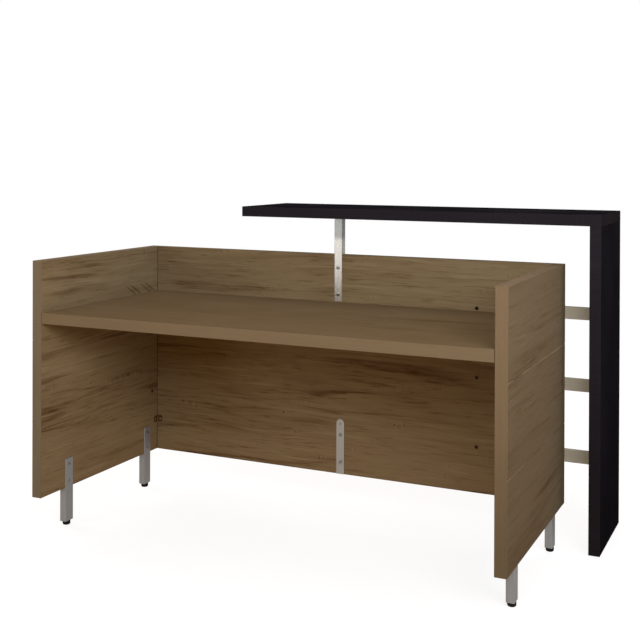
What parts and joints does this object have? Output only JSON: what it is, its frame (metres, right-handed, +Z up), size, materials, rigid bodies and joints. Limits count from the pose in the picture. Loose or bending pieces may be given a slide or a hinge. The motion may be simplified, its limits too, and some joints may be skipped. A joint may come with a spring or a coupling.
{
  "type": "reception desk",
  "caption": "Reception desk of wood-effect boards on levelling legs, with a black L-shaped counter on a post and tie bars over its front panel.",
  "frame": {"origin": "middle of the footprint, on the floor", "axes": "+X to the right of the person seated at the desk, +Y from staff side to visitor side, +Z up"},
  "size_m": [1.731, 0.96, 1.075],
  "materials": {
    "oak_laminate": "matt brown oak print on board",
    "oak_edge": "plain brown edge band",
    "black_laminate": "satin black melamine on board",
    "black_edge": "satin black edge band",
    "leg_steel": "satin grey steel",
    "bar_steel": "satin grey steel",
    "post_steel": "bright brushed steel",
    "zinc": "zinc plated",
    "dark_zinc": "dark bronzed",
    "black_plastic": "moulded black plastic",
    "beech": "plain beech"
  },
  "bodies": {
    "desk": {"left_side_panel": "oak_laminate", "right_side_panel": "oak_laminate", "front_panel": "oak_laminate", "worktop": "oak_laminate", "left_side_edge_bands": "oak_edge", "right_side_edge_bands": "oak_edge", "front_edge_bands": "oak_edge", "worktop_edge_band": "oak_edge", "counter_top": "black_laminate", "counter_upright": "black_laminate", "counter_top_edge_bands": "black_edge", "counter_upright_edge_bands": "black_edge", "near_left_leg": "leg_steel", "near_right_leg": "leg_steel", "far_left_leg": "leg_steel", "far_right_leg": "leg_steel", "front_strip": "leg_steel", "lower_connector_bar": "bar_steel", "middle_connector_bar": "bar_steel", "upper_connector_bar": "bar_steel", "counter_post": "post_steel", "leg_screws": "zinc", "post_screws": "zinc", "strip_screws": "zinc", "post_stud": "zinc", "bar_studs": "zinc", "bar_inserts": "zinc", "side_cam_bolts": "zinc", "worktop_cam_locks": "zinc", "worktop_cam_bolts": "zinc", "counter_cam_locks": "zinc", "counter_cam_bolts": "zinc", "bar_bolts": "dark_zinc", "corner_brackets": "dark_zinc", "bracket_screws": "dark_zinc", "side_cam_locks": "dark_zinc", "leg_end_plugs": "black_plastic", "post_end_plug": "black_plastic", "bar_end_caps": "black_plastic", "bar_end_plugs": "black_plastic", "upright_glides": "black_plastic", "side_dowels": "beech", "worktop_dowels": "beech", "counter_dowels": "beech"},
    "near_left_stud": {"near_left_foot_stud": "zinc"},
    "near_left_foot": {"near_left_foot_base": "black_plastic"},
    "near_right_stud": {"near_right_foot_stud": "zinc"},
    "near_right_foot": {"near_right_foot_base": "black_plastic"},
    "far_left_stud": {"far_left_foot_stud": "zinc"},
    "far_left_foot": {"far_left_foot_base": "black_plastic"},
    "far_right_stud": {"far_right_foot_stud": "zinc"},
    "far_right_foot": {"far_right_foot_base": "black_plastic"}
  },
  "joints": [
    {"name": "near_left_foot_travel", "type": "slide", "parent": "desk", "child": "near_left_stud", "axis": [0, 0, -1], "range_m": [0, 0.0125]},
    {"name": "near_left_foot_turn", "type": "hinge", "parent": "near_left_stud", "child": "near_left_foot", "pos_m": [-0.84, -0.335, 0], "axis": [0, 0, -1], "range_deg": [0, 3960]},
    {"name": "near_right_foot_travel", "type": "slide", "parent": "desk", "child": "near_right_stud", "axis": [0, 0, -1], "range_m": [0, 0.0125]},
    {"name": "near_right_foot_turn", "type": "hinge", "parent": "near_right_stud", "child": "near_right_foot", "pos_m": [0.709, -0.335, 0], "axis": [0, 0, -1], "range_deg": [0, 3960]},
    {"name": "far_left_foot_travel", "type": "slide", "parent": "desk", "child": "far_left_stud", "axis": [0, 0, -1], "range_m": [0, 0.0125]},
    {"name": "far_left_foot_turn", "type": "hinge", "parent": "far_left_stud", "child": "far_left_foot", "pos_m": [-0.84, 0.127, 0], "axis": [0, 0, -1], "range_deg": [0, 3960]},
    {"name": "far_right_foot_travel", "type": "slide", "parent": "desk", "child": "far_right_stud", "axis": [0, 0, -1], "range_m": [0, 0.0125]},
    {"name": "far_right_foot_turn", "type": "hinge", "parent": "far_right_stud", "child": "far_right_foot", "pos_m": [0.709, 0.127, 0], "axis": [0, 0, -1], "range_deg": [0, 3960]}
  ],
  "couplings": [
    {"joint": "near_left_foot_turn", "follows": "near_left_foot_travel", "rad_per_m": 5026.5},
    {"joint": "near_right_foot_turn", "follows": "near_right_foot_travel", "rad_per_m": 5026.5},
    {"joint": "far_left_foot_turn", "follows": "far_left_foot_travel", "rad_per_m": 5026.5},
    {"joint": "far_right_foot_turn", "follows": "far_right_foot_travel", "rad_per_m": 5026.5}
  ]
}
